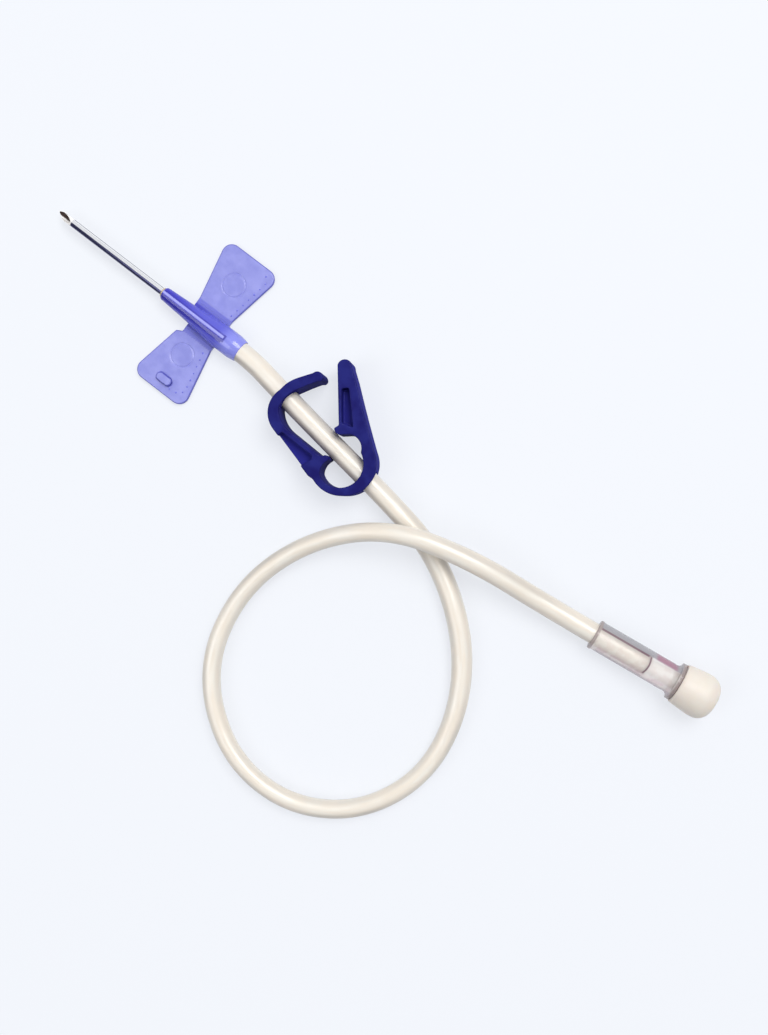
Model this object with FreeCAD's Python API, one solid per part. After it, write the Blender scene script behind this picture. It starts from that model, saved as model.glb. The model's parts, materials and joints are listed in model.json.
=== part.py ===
import FreeCAD, Part
import math
import os

V = FreeCAD.Vector

# Driving dimensions, in millimetres and degrees.

# Steel cannula, ground to a lancet point
cannula_od = 1.83
cannula_id = 1.50
cannula_exposed = 31.6
bevel_length = 4.7
bevel_roll = -20.0
lancet_length = 2.2
lancet_angle = 32.0
lancet_roll = 25.0
lancet_apart = 0.02
cannula_rear_gap = 0.2

# Hub, moulded in one with its two wings
hub_length = 22.6
hub_nose_r = 1.6
hub_neck_r = 2.0
hub_belly_r = 2.95
hub_lip_r = 2.62
hub_neck_back = 6.8
hub_belly_back = 16.8
hub_nose_round = 0.6
hub_lip_length = 2.6
hub_lip_bulge = 0.08
bond_line = 0.02
bond_cup_r = 1.22
bond_cup_depth = 0.70
bond_crown = 0.35

# Wings, two flat trapezoids that flare outwards and bend up along their roots
wing_span = 37.6
wing_thickness = 1.1
wing_root_length = 9.5
wing_tip_length = 15.4
wing_centre_back = 11.6
wing_corner_r = 2.4
wing_edge_round = 0.30
wing_root_offset = 0.45
hinge_gap = 0.04
notch_setback = 1.4
notch_height = 1.1
peg_length = 4.1
peg_width = 2.0
peg_height = 0.8
peg_inset = 3.0
peg_round = 0.3
ring_radius = 2.9
ring_width = 0.35
ring_depth = 0.15
ring_out_peg_side = 8.9
ring_out_plain_side = 11.1

# Tubing
tube_od = 4.8
tube_id = 3.1
tube_fit = 0.02
tube_end_gap = 0.1
hub_socket_depth = 4.2

# Pinch clamp, lying on its side with the tube through both ends
clamp_depth = 8.8
clamp_reach = 25.9
clamp_behind_point = 4.0
clamp_hole_gap = 0.25
clamp_nib_gap = 0.08
hook_band = 2.1
bow_band = 1.5
bow_root_band = 3.0
clamp_web = 3.6
jaw_at = 16.6
arm_nib_at = 13.5
arm_tip_high = 15.7
hook_high = 9.4
clamp_cut_gap = 0.05

# Luer connector, a clear socket with a flange and a lugged nose
connector_body_r = 3.3
connector_lip_up = 0.18
connector_lip_in = 0.45
connector_fillet_in = 0.35
connector_fillet_up = 0.3
connector_socket_depth = 13.6
connector_web = 1.0
connector_flange_at = 20.0
connector_flange_r = 4.35
connector_flange_thick = 0.9
connector_flare = 1.6
connector_nose_length = 6.6
connector_nose_r = 3.3
luer_mouth_r = 2.15
luer_depth = 7.5
luer_slope = 0.03
passage_r = 1.55
lug_r = 3.9
lug_length = 1.3
lug_angle = 100.0
lug_bevel = 0.3

# Luer cap
cap_length = 8.9
cap_rim_r = 4.65
cap_belly_r = 5.1
cap_bulge = 0.03
cap_belly_share = 0.55
cap_rim_bevel = 0.2
cap_plug_bevel = 0.2
cap_end_wall = 1.7
cap_end_round = 3.3
cap_bore_r = 4.1
cap_flange_gap = 0.10
cap_plug_reach = 6.0
cap_plug_gap = 0.02

# The needle lies along X with its tip at +X. The origin is on the floor, below the
# middle of the needle and hub, and every height is counted from the floor.
axis_z = hub_belly_r
tip_x = (cannula_exposed + hub_length) / 2
nose_x = tip_x - cannula_exposed
rear_x = nose_x - hub_length
socket_floor_x = rear_x + hub_socket_depth
wing_x = nose_x - wing_centre_back
hinge_y = hub_belly_r + wing_root_offset
knuckle_r = wing_thickness / 2

tube_r = tube_od / 2
floor_z = tube_r
clamp_z = clamp_depth / 2

# The connector and its cap lie on the mouth's lip and the cap's belly, so the axis tilts.
lip_r = connector_body_r + connector_lip_up
lip_at = connector_lip_in
cap_start = connector_flange_at + connector_flange_thick + cap_flange_gap
belly_at = cap_start + cap_belly_share * cap_length
rest_tilt = math.atan2(cap_belly_r - lip_r, belly_at - lip_at)
mouth_z = lip_r * math.cos(rest_tilt) - lip_at * math.sin(rest_tilt)

# Route of the tube's centreline, from inside the hub to inside the connector. Each point is
# counted from the hub's rear end: distance along X, distance along Y, and height.
hump_z = 12.5
last_run_out = 10.0
connector_way = (-0.9914, -0.1311)
mouth_from_rear = (-102.0, 2.0)


def on_connector_axis(distance):
    """Point of the route on the connector's axis, at a distance in from its mouth."""
    level = distance * math.cos(rest_tilt)
    x = mouth_from_rear[0] + level * connector_way[0]
    y = mouth_from_rear[1] + level * connector_way[1]
    return (x, y, mouth_z + distance * math.sin(rest_tilt))


route_from_rear = [
    (hub_socket_depth - tube_end_gap, 0.0, axis_z),
    (-3.5, 0.0, axis_z),
    (-11.3, 1.3, clamp_z),
    (-27.7, 3.7, clamp_z),
    (-46.5, 6.2, clamp_z),
    (-63.2, 9.4, floor_z),
    (-79.7, 20.4, floor_z),
    (-89.5, 35.2, floor_z),
    (-91.9, 52.0, floor_z),
    (-84.7, 67.6, floor_z),
    (-69.9, 76.4, floor_z),
    (-52.4, 75.0, floor_z),
    (-37.2, 62.6, floor_z),
    (-32.6, 43.7, floor_z),
    (-38.0, 25.5, 6.0),
    (-51.0, 11.0, hump_z),
    (-70.0, 5.2, hump_z),
    on_connector_axis(-last_run_out),
    on_connector_axis(connector_socket_depth - tube_end_gap),
]
route = [V(rear_x + x, y, z) for x, y, z in route_from_rear]


# Drawing helpers for outlines made of straight stretches and arcs

def outline(start, steps, place):
    """Face inside a closed outline. A step is a point, or a point to pass and a point to reach."""
    edges = []
    here = place(start)
    for step in steps + [start]:
        if isinstance(step[0], tuple):
            middle = place(step[0])
            there = place(step[1])
            edges.append(Part.Arc(here, middle, there).toShape())
        else:
            there = place(step)
            if (there - here).Length > 1e-6:
                edges.append(Part.LineSegment(here, there).toShape())
        here = there
    return Part.Face(Part.Wire(edges))


def turned(start, steps):
    """Solid turned about the X axis from an outline of (x, radius)."""
    face = outline(start, steps, lambda p: V(p[0], 0, p[1]))
    return face.revolve(V(0, 0, 0), V(1, 0, 0), 360)


def flat(start, steps, low, high):
    """Solid of an outline in X and Y, between two heights."""
    face = outline(start, steps, lambda p: V(p[0], p[1], low))
    return face.extrude(V(0, 0, high - low))


def rod(radius, x0, x1):
    return Part.makeCylinder(radius, x1 - x0, V(x0, 0, 0), V(1, 0, 0))


def box(x0, x1, y0, y1, z0, z1):
    return Part.makeBox(x1 - x0, y1 - y0, z1 - z0, V(x0, y0, z0))


def rounded(solid, radius, chosen):
    """The solid with the edges that chosen() accepts rounded off."""
    edges = [edge for edge in solid.Edges if chosen(edge)]
    return solid.makeFillet(radius, edges)


def one_solid(shape):
    found = shape.Solids
    if len(found) != 1:
        raise ValueError("expected one solid, found %d" % len(found))
    return found[0]


# Steel cannula: a drawn tube, ground to one long bevel and two lancet facets at its tip

def make_cannula():
    r = cannula_od / 2
    back = socket_floor_x + cannula_rear_gap
    tube = rod(r, back, tip_x).cut(rod(cannula_id / 2, back - 1, tip_x + 1))
    slope = math.degrees(math.atan2(cannula_od, bevel_length))
    bevel = box(-2, 2 * bevel_length, -cannula_od, cannula_od, 0, 2 * cannula_od)
    bevel.rotate(V(0, 0, 0), V(0, 1, 0), slope)
    bevel.translate(V(tip_x - bevel_length, 0, r))
    tube = tube.cut(bevel)
    for side in (-1, 1):
        facet = box(-2 * lancet_length, lancet_length, 0, 2 * cannula_od, -cannula_od, 2 * cannula_od)
        facet.rotate(V(0, 0, 0), V(1, 0, 0), lancet_roll)
        facet.rotate(V(0, 0, 0), V(0, 0, 1), -lancet_angle)
        facet.translate(V(tip_x, lancet_apart, -r))
        if side < 0:
            facet = facet.mirror(V(0, 0, 0), V(0, 1, 0))
        tube = tube.cut(facet)
    tube.rotate(V(0, 0, 0), V(1, 0, 0), bevel_roll)
    tube.translate(V(0, 0, axis_z))
    return one_solid(tube)


# Adhesive that fills the cup in the hub's nose around the cannula

def make_bond():
    r = cannula_od / 2 + bond_line
    top = bond_cup_r - bond_line
    bead = turned(
        (nose_x - bond_cup_depth, r),
        [
            (nose_x - bond_cup_depth, r + 0.05),
            (nose_x, top),
            ((nose_x + 0.8 * bond_crown, (r + top) / 2), (nose_x + bond_crown, r)),
        ],
    )
    bead.translate(V(0, 0, axis_z))
    return one_solid(bead)


# Hub: a soft moulding, round in section, widest over the wings' rear and thinned at its lip

def make_hub():
    lip_start = rear_x + hub_lip_length
    lip_halfway = ((lip_start + rear_x) / 2, (hub_belly_r + hub_lip_r) / 2 + hub_lip_bulge)
    body = turned(
        (nose_x, 0),
        [
            (nose_x, hub_nose_r - hub_nose_round),
            (
                (nose_x - 0.3 * hub_nose_round, hub_nose_r - 0.3 * hub_nose_round),
                (nose_x - hub_nose_round, hub_nose_r),
            ),
            (nose_x - hub_neck_back, hub_neck_r),
            (nose_x - hub_belly_back, hub_belly_r),
            (lip_start, hub_belly_r),
            (lip_halfway, (rear_x, hub_lip_r)),
            (rear_x, 0),
        ],
    )
    body.translate(V(0, 0, axis_z))
    rear = wing_x - wing_root_length / 2
    front = wing_x + wing_root_length / 2
    plate = box(rear, front, -hinge_y, 0, 0, wing_thickness)
    plate = plate.fuse(box(rear, front - notch_setback, 0, hinge_y, 0, wing_thickness))
    for y, end in ((-hinge_y, front), (hinge_y, front - notch_setback)):
        bead = Part.makeCylinder(knuckle_r, end - rear, V(rear, y, knuckle_r), V(1, 0, 0))
        plate = plate.fuse(bead)
    hub = body.fuse(plate).removeSplitter()
    bore = rod(cannula_od / 2 + bond_line, rear_x - 1, nose_x + 1)
    socket = rod(tube_r + tube_fit, rear_x - 1, socket_floor_x)
    cup = turned(
        (nose_x - bond_cup_depth, 0),
        [
            (nose_x - bond_cup_depth, cannula_od / 2 + bond_line + 0.07),
            (nose_x, bond_cup_r),
            (nose_x + 0.5, bond_cup_r),
            (nose_x + 0.5, 0),
        ],
    )
    for hole in (bore, socket, cup):
        hole.translate(V(0, 0, axis_z))
        hub = hub.cut(hole)
    return one_solid(hub)


# Wing: a flat flap with rounded corners, a grip ring and, on one wing only, a raised peg

def make_wing(side):
    inner = hinge_y + knuckle_r + hinge_gap
    outer = wing_span / 2
    root_rear = wing_x - wing_root_length / 2
    root_front = wing_x + wing_root_length / 2
    tip_rear = wing_x - wing_tip_length / 2
    tip_front = wing_x + wing_tip_length / 2
    start = (root_rear, inner)
    notched = side > 0
    first = root_front - notch_setback if notched else root_front
    corners = [(first, inner)]
    if notched:
        corners.append((first, inner + 0.3 * notch_height))
        corners.append((root_front, inner + notch_height))
    corners += [(tip_front, outer), (tip_rear, outer)]
    wing = flat(start, corners, 0, wing_thickness)

    def upright(edge):
        ends = [v.Point for v in edge.Vertexes]
        return len(ends) == 2 and abs(ends[0].z - ends[1].z) > 0.9 * wing_thickness

    wing = rounded(wing, wing_corner_r, lambda e: upright(e) and e.Vertexes[0].Point.y > outer - 0.1)

    def rim(edge):
        low = edge.BoundBox
        return low.ZLength < 1e-6 and low.YMax > inner + 0.01

    wing = rounded(wing, wing_edge_round, rim)
    centre = V(wing_x, ring_out_peg_side if notched else ring_out_plain_side, 0)
    foot = centre + V(0, 0, wing_thickness - ring_depth)
    groove = Part.makeCylinder(ring_radius, 1, foot)
    groove = groove.cut(Part.makeCylinder(ring_radius - ring_width, 1, foot))
    wing = wing.cut(groove)
    if notched:
        half = (peg_length - peg_width) / 2
        y0 = outer - peg_inset - peg_width / 2
        y1 = outer - peg_inset + peg_width / 2
        middle = (y0 + y1) / 2
        top = wing_thickness + peg_height
        peg = flat(
            (wing_x - half, y0),
            [
                (wing_x + half, y0),
                ((wing_x + half + peg_width / 2, middle), (wing_x + half, y1)),
                (wing_x - half, y1),
                ((wing_x - half - peg_width / 2, middle), (wing_x - half, y0)),
            ],
            wing_thickness / 2,
            top,
        )
        peg = rounded(peg, peg_round, lambda e: e.BoundBox.ZMin > top - 1e-6)
        wing = wing.fuse(peg)
    else:
        wing = wing.mirror(V(0, 0, 0), V(0, 1, 0))
    return one_solid(wing)


# Tube: straight runs joined by arcs, as large as the two runs at each point allow

def centreline(points):
    """Edges of the tube's centreline, with its length and the radius of each arc."""
    edges = []
    radii = []
    here = points[0]
    for before, corner, after in zip(points, points[1:], points[2:]):
        run_in = corner - before
        run_out = after - corner
        reach = 0.45 * min(run_in.Length, run_out.Length)
        way_in = V(run_in).normalize()
        way_out = V(run_out).normalize()
        turn = way_in.getAngle(way_out)
        radius = reach / math.tan(turn / 2)
        start = corner - way_in * reach
        end = corner + way_out * reach
        inward = (way_out - way_in).normalize()
        middle = corner + inward * (radius / math.cos(turn / 2) - radius)
        edges.append(Part.LineSegment(here, start).toShape())
        edges.append(Part.Arc(start, middle, end).toShape())
        radii.append(radius)
        here = end
    edges.append(Part.LineSegment(here, points[-1]).toShape())
    return edges, sum(edge.Length for edge in edges), radii


def make_tube():
    edges, length, radii = centreline(route)
    path = Part.Wire(edges)
    way = (route[1] - route[0]).normalize()

    def swept(radius):
        ring = Part.Wire([Part.Circle(route[0], way, radius).toShape()])
        return path.makePipeShell([ring], True, False)

    tube = one_solid(swept(tube_r).cut(swept(tube_id / 2)))
    section = math.pi * (tube_r**2 - tube_id**2 / 4)
    print("tube length %.1f mm" % length)
    print("arc radii " + ", ".join("%.1f" % radius for radius in radii))
    print("tube volume over section times length %.4f" % (tube.Volume / (section * length)))
    return tube


# Pinch clamp, drawn flat: a runs along the tube from the hook's hole to the bow's hole, and
# b across it towards the arm. The bow is thin and springs, the other two pieces are stiff.

nib_low = -(tube_r + clamp_nib_gap)
nib_high = tube_r + clamp_nib_gap
bow_a = clamp_reach
frame_cut = ((bow_a - 8.1, -6.5), (bow_a - 8.3, -8.45))
arm_cut = ((bow_a - 4.9, 3.3), (bow_a - 4.9 + 0.6 * bow_root_band, 3.3 + 0.8 * bow_root_band))
inner_band = 0.35
outer_band = inner_band - hook_band


def clamp_place():
    way = route[4] - route[2]
    origin = route[2] + V(way).normalize() * clamp_behind_point
    heading = math.degrees(math.atan2(way.y, way.x))
    return V(origin.x, origin.y, 0), heading


def placed(shape):
    origin, heading = clamp_place()
    shape.rotate(V(0, 0, 0), V(0, 0, 1), heading)
    shape.translate(origin)
    return shape


def tube_hole():
    hole = rod(tube_r + clamp_hole_gap, -6, bow_a + 6)
    hole.translate(V(0, 0, clamp_z))
    return hole


def pockets(start, steps):
    """A recess of one outline in both flat sides, leaving a web halfway up."""
    depth = (clamp_depth - clamp_web) / 2
    low = flat(start, steps, -1, depth)
    high = flat(start, steps, clamp_depth - depth, clamp_depth + 1)
    return low.fuse(high)


def make_clamp_frame():
    nub = hook_high
    frame = flat(
        (outer_band + 1.0, 5.1),
        [
            ((outer_band + 2.0, nub - 2.4), (0.9, nub - 1.2)),
            ((1.7, nub), (3.0, nub - 0.1)),
            ((3.5, nub - 0.7), (3.0, nub - 1.7)),
            ((2.2, nub - 3.4), (inner_band + 0.7, 3.2)),
            ((inner_band, 0.0), (inner_band + 0.7, -2.9)),
            ((2.9, -4.1), (6.4, -4.6)),
            (jaw_at - 1.3, -3.6),
            (jaw_at - 0.9, nib_low - 0.25),
            ((jaw_at - 0.2, nib_low), (jaw_at + 0.5, nib_low - 0.4)),
            ((jaw_at + 0.3, nib_low - 2.1), frame_cut[0]),
            frame_cut[1],
            (bow_a - 9.6, -8.7),
            (3.4, -6.95),
            ((outer_band + 0.8, -4.2), (outer_band, 0.4)),
            ((outer_band + 0.2, 3.0), (outer_band + 1.0, 5.1)),
        ],
        0,
        clamp_depth,
    )
    frame = frame.cut(
        pockets(
            (5.2, -6.0),
            [
                (jaw_at - 3.0, -4.9),
                (jaw_at - 2.3, -5.6),
                (jaw_at - 3.0, -7.8),
                (jaw_at - 3.0, -9.9),
                (5.2, -8.5),
            ],
        )
    )
    return one_solid(placed(frame.cut(tube_hole())))


def make_clamp_bow():
    inner_low = -7.0
    bow = flat(
        frame_cut[0],
        [
            ((bow_a - 5.8, inner_low), (bow_a - 3.0, -5.8)),
            ((bow_a - 1.2, -2.2), arm_cut[0]),
            arm_cut[1],
            ((bow_a + 1.35, -1.4), (bow_a - 1.0, -6.4)),
            ((bow_a - 4.6, inner_low - bow_band), frame_cut[1]),
        ],
        0,
        clamp_depth,
    )
    return one_solid(placed(bow.cut(tube_hole())))


def make_clamp_arm():
    lift = (-clamp_cut_gap * 0.8, clamp_cut_gap * 0.6)
    inner = (arm_cut[0][0] + lift[0], arm_cut[0][1] + lift[1])
    outer = (arm_cut[1][0] + lift[0], arm_cut[1][1] + lift[1])
    tip = arm_tip_high
    arm = flat(
        inner,
        [
            ((bow_a - 7.6, 5.0), (bow_a - 9.6, 4.4)),
            (arm_nib_at + 1.2, nib_high + 0.15),
            ((arm_nib_at + 0.2, nib_high), (arm_nib_at - 0.6, nib_high + 0.5)),
            (arm_nib_at - 0.3, 4.1),
            (3.5, tip - 2.4),
            ((3.5, tip - 0.7), (4.3, tip)),
            ((5.2, tip + 0.1), (6.0, tip - 0.4)),
            (8.8, 13.8),
            ((14.0, 10.7), outer),
        ],
        0,
        clamp_depth,
    )
    arm = arm.cut(
        pockets(
            (7.9, 10.3),
            [
                (arm_nib_at - 0.2, 5.0),
                (arm_nib_at + 2.3, 6.0),
                ((12.8, 8.4), (8.9, 11.5)),
            ],
        )
    )
    return one_solid(placed(arm))


# Luer connector: the tube is glued in one end, and the other is a female luer taper. It is
# drawn along X from its mouth, then laid along the last run of the tube's route.

nose_end = connector_flange_at + connector_flange_thick + connector_nose_length


def taper_r(at):
    return luer_mouth_r - luer_slope * (nose_end - at)


def laid(shape):
    way = route[-1] - route[-2]
    mouth = V(rear_x + mouth_from_rear[0], mouth_from_rear[1], mouth_z)
    shape.rotate(V(0, 0, 0), V(0, 1, 0), -math.degrees(rest_tilt))
    shape.rotate(V(0, 0, 0), V(0, 0, 1), math.degrees(math.atan2(way.y, way.x)))
    shape.translate(mouth)
    return shape


def make_connector():
    flange = connector_flange_at
    far = flange + connector_flange_thick
    body = turned(
        (0, 0),
        [
            (0, connector_body_r),
            ((lip_at, lip_r), (2 * lip_at, connector_body_r)),
            (flange - connector_flare, connector_body_r),
            (
                (flange - connector_fillet_in, connector_body_r + connector_fillet_up),
                (flange, connector_flange_r),
            ),
            (far, connector_flange_r),
            (far, connector_nose_r),
            (nose_end, connector_nose_r),
            (nose_end, 0),
        ],
    )
    lug_start = nose_end - lug_length
    ring = turned(
        (lug_start, 0),
        [
            (lug_start, lug_r - lug_bevel),
            (lug_start + lug_bevel, lug_r),
            (nose_end, lug_r),
            (nose_end, 0),
        ],
    )
    for turn in (0, 180):
        wedge = Part.makeCylinder(
            2 * lug_r, lug_length, V(lug_start, 0, 0), V(1, 0, 0), lug_angle
        )
        wedge.rotate(V(0, 0, 0), V(1, 0, 0), turn)
        body = body.fuse(ring.common(wedge))
    socket_end = connector_socket_depth
    web_end = socket_end + connector_web
    luer_floor = nose_end - luer_depth
    bore = turned(
        (-1, 0),
        [
            (-1, tube_r + tube_fit),
            (socket_end, tube_r + tube_fit),
            (socket_end, passage_r),
            (web_end, passage_r),
            (luer_floor, taper_r(luer_floor)),
            (nose_end + 0.5, taper_r(nose_end + 0.5)),
            (nose_end + 0.5, 0),
        ],
    )
    return one_solid(laid(body.cut(bore).removeSplitter()))


# Luer cap: a round cup with a closed, rounded end and a tapered plug on its centre

def make_cap():
    end = cap_start + cap_length
    halfway = ((cap_start + belly_at) / 2, (cap_rim_r + cap_belly_r) / 2 + cap_bulge)
    shell = turned(
        (cap_start, 0),
        [
            (cap_start, cap_rim_r - cap_rim_bevel),
            (cap_start + cap_rim_bevel, cap_rim_r),
            (halfway, (belly_at, cap_belly_r)),
            (end - cap_end_round, cap_belly_r),
            (
                (end - 0.3 * cap_end_round, cap_belly_r - 0.3 * cap_end_round),
                (end, cap_belly_r - cap_end_round),
            ),
            (end, 0),
        ],
    )
    floor = end - cap_end_wall
    cup = rod(cap_bore_r, cap_start - 1, floor)
    plug_start = nose_end - cap_plug_reach
    plug = turned(
        (plug_start, 0),
        [
            (plug_start, taper_r(plug_start) - cap_plug_gap - cap_plug_bevel),
            (plug_start + cap_plug_bevel, taper_r(plug_start + cap_plug_bevel) - cap_plug_gap),
            (nose_end, taper_r(nose_end) - cap_plug_gap),
            (floor + 0.1, taper_r(nose_end) - cap_plug_gap),
            (floor + 0.1, 0),
        ],
    )
    return one_solid(laid(shell.cut(cup).fuse(plug).removeSplitter()))


parts = {
    "cannula": make_cannula(),
    "needle_bond": make_bond(),
    "hub": make_hub(),
    "wing_peg_side": make_wing(1),
    "wing_plain_side": make_wing(-1),
    "tube": make_tube(),
    "clamp_frame": make_clamp_frame(),
    "clamp_bow": make_clamp_bow(),
    "clamp_arm": make_clamp_arm(),
    "luer_connector": make_connector(),
    "luer_cap": make_cap(),
}

os.makedirs("parts", exist_ok=True)
for name, shape in parts.items():
    if not shape.isValid():
        print(name + " is not valid")
    shape.exportStep("parts/" + name + ".step")
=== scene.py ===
"""A fistula needle lying as it was put down: the winged needle, its loop of tubing, the open pinch
clamp on the tubing, and the clear luer connector with its cap."""
import json
import math

import bmesh
import bpy
from mathutils import Matrix, Vector, kdtree
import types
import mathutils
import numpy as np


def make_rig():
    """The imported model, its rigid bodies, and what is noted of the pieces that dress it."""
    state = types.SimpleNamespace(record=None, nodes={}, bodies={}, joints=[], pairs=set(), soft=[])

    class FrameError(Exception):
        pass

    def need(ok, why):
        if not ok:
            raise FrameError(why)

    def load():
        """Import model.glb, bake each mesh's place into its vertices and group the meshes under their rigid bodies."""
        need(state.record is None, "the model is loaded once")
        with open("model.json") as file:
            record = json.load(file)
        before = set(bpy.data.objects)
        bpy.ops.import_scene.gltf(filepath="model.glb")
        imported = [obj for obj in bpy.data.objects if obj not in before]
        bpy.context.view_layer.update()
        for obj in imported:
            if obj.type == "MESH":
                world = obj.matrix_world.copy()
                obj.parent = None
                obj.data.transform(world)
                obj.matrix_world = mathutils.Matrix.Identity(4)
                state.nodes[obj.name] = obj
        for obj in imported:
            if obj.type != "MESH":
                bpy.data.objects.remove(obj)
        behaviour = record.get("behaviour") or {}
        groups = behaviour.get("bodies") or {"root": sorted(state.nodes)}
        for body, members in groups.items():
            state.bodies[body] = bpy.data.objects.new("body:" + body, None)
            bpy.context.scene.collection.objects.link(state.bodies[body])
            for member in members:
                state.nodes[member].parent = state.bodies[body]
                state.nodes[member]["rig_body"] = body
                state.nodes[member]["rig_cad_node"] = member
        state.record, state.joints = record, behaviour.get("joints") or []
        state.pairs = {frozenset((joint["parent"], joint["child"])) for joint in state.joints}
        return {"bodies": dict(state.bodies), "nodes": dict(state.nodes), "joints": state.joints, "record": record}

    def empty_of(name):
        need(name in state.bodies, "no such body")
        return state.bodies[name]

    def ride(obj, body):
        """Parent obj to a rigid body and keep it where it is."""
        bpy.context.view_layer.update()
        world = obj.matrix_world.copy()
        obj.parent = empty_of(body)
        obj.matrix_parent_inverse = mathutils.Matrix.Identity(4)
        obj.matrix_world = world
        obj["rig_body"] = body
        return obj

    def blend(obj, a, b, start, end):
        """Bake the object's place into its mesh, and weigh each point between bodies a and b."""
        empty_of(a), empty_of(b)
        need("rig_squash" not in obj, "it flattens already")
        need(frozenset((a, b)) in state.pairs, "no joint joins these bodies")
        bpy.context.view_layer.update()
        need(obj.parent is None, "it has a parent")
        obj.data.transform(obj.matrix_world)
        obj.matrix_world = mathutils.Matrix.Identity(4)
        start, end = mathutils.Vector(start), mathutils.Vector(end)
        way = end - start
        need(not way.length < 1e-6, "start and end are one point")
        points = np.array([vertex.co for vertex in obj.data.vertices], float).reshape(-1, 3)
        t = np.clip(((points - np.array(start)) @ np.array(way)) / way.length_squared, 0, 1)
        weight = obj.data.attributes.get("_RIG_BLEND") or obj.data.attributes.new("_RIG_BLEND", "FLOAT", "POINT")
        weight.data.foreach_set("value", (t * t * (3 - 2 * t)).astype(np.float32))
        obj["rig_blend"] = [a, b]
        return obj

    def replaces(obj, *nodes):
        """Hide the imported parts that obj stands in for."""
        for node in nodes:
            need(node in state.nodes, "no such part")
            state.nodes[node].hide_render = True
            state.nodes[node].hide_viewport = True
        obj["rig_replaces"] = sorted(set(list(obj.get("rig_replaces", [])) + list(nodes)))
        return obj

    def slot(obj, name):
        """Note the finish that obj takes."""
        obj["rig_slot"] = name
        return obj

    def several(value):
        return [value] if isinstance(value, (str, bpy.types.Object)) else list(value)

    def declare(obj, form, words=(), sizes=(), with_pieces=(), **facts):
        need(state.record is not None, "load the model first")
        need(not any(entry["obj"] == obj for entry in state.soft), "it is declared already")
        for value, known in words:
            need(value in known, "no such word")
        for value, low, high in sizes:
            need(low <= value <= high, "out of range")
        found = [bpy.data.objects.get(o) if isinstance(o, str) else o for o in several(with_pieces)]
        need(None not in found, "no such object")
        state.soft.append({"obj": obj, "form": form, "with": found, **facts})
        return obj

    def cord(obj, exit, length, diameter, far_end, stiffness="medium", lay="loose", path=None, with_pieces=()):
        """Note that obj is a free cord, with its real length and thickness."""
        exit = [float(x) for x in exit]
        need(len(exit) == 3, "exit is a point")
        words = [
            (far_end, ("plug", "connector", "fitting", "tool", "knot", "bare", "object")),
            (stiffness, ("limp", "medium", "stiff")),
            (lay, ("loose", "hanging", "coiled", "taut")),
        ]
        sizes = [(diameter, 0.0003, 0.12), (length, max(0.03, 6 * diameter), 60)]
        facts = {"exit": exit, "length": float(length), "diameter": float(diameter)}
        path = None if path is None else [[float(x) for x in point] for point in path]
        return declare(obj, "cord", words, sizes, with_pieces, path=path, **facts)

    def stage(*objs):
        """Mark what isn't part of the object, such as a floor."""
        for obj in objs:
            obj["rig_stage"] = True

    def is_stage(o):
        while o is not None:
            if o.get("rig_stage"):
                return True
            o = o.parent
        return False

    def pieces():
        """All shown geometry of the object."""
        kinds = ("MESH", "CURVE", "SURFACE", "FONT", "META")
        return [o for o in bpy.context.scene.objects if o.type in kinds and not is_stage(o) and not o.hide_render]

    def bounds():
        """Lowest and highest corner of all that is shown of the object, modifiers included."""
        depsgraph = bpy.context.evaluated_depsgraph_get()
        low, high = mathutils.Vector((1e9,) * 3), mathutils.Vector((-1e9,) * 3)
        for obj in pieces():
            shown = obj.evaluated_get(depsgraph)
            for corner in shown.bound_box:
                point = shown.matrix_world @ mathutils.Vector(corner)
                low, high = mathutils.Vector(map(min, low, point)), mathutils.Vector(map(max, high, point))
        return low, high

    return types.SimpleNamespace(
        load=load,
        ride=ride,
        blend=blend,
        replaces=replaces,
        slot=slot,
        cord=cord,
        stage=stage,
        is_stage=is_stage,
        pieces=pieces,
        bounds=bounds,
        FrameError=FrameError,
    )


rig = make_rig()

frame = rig.load()
cad_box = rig.bounds()
nodes = frame["nodes"]
scene = bpy.context.scene
MM = 0.001

# The viewpoint: nearly straight down on the floor, from a hand's length above the loop, with the
# needle pointing to the upper left.
lens = bpy.data.cameras.new("viewpoint")
lens.lens = 40.0
lens.clip_start = 0.01
camera = bpy.data.objects.new("viewpoint", lens)
camera.location = (-0.09192, -0.00631, 0.262)
camera.rotation_euler = [math.radians(a) for a in (-0.747, 4.969, -142.568)]
scene.collection.objects.link(camera)
scene.camera = camera
scene.view_settings.view_transform = "Standard"

# Soft tubing: one extruded length of clear vinyl. It is glued into the hub, lies in an open loop,
# passes over itself in a long low hump and is glued into the connector. It is drawn slimmer round the
# loop, between the two stretches along it in which its width eases.
TUBE_OUTER = 4.8 * MM
TUBE_BORE = 3.1 * MM
TUBE_SIDES = 48
TUBE_SLIM = 0.88
TUBE_STEPS = 24
SLIM_FROM = (85 * MM, 125 * MM)
SLIM_TO = (235 * MM, 285 * MM)
NEAR_HUB = (45 * MM, 75 * MM)
STREAKS_ALONG = 120.0
STREAKS_ROUND = 9.0
PATCHES_ALONG = 26.0
CREAM = (0.96, 0.88, 0.765)
CREAM_LIGHT = (1.0, 0.955, 0.865)
# The grey of the flanks is painted shade.
FLANK_SHADE_GREY = (0.43, 0.385, 0.34)
route = [
    (-23.1, 0.0, 2.95),
    (-30.6, 0.0, 2.95),
    (-38.4, 1.3, 4.4),
    (-54.8, 3.7, 4.4),
    (-73.6, 6.2, 4.4),
    (-90.3, 9.4, 2.4),
    (-106.8, 20.4, 2.4),
    (-116.6, 35.2, 2.4),
    (-119.0, 52.0, 2.4),
    (-111.8, 67.6, 2.4),
    (-97.0, 76.4, 2.4),
    (-79.5, 75.0, 2.4),
    (-64.3, 62.6, 2.4),
    (-59.7, 43.7, 2.4),
    (-65.1, 25.5, 5.0),
    (-78.1, 11.0, 9.6),
    (-97.1, 5.2, 9.6),
    (-119.21, 3.31, 2.81),
    (-142.47, 0.23, 4.31),
]


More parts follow.
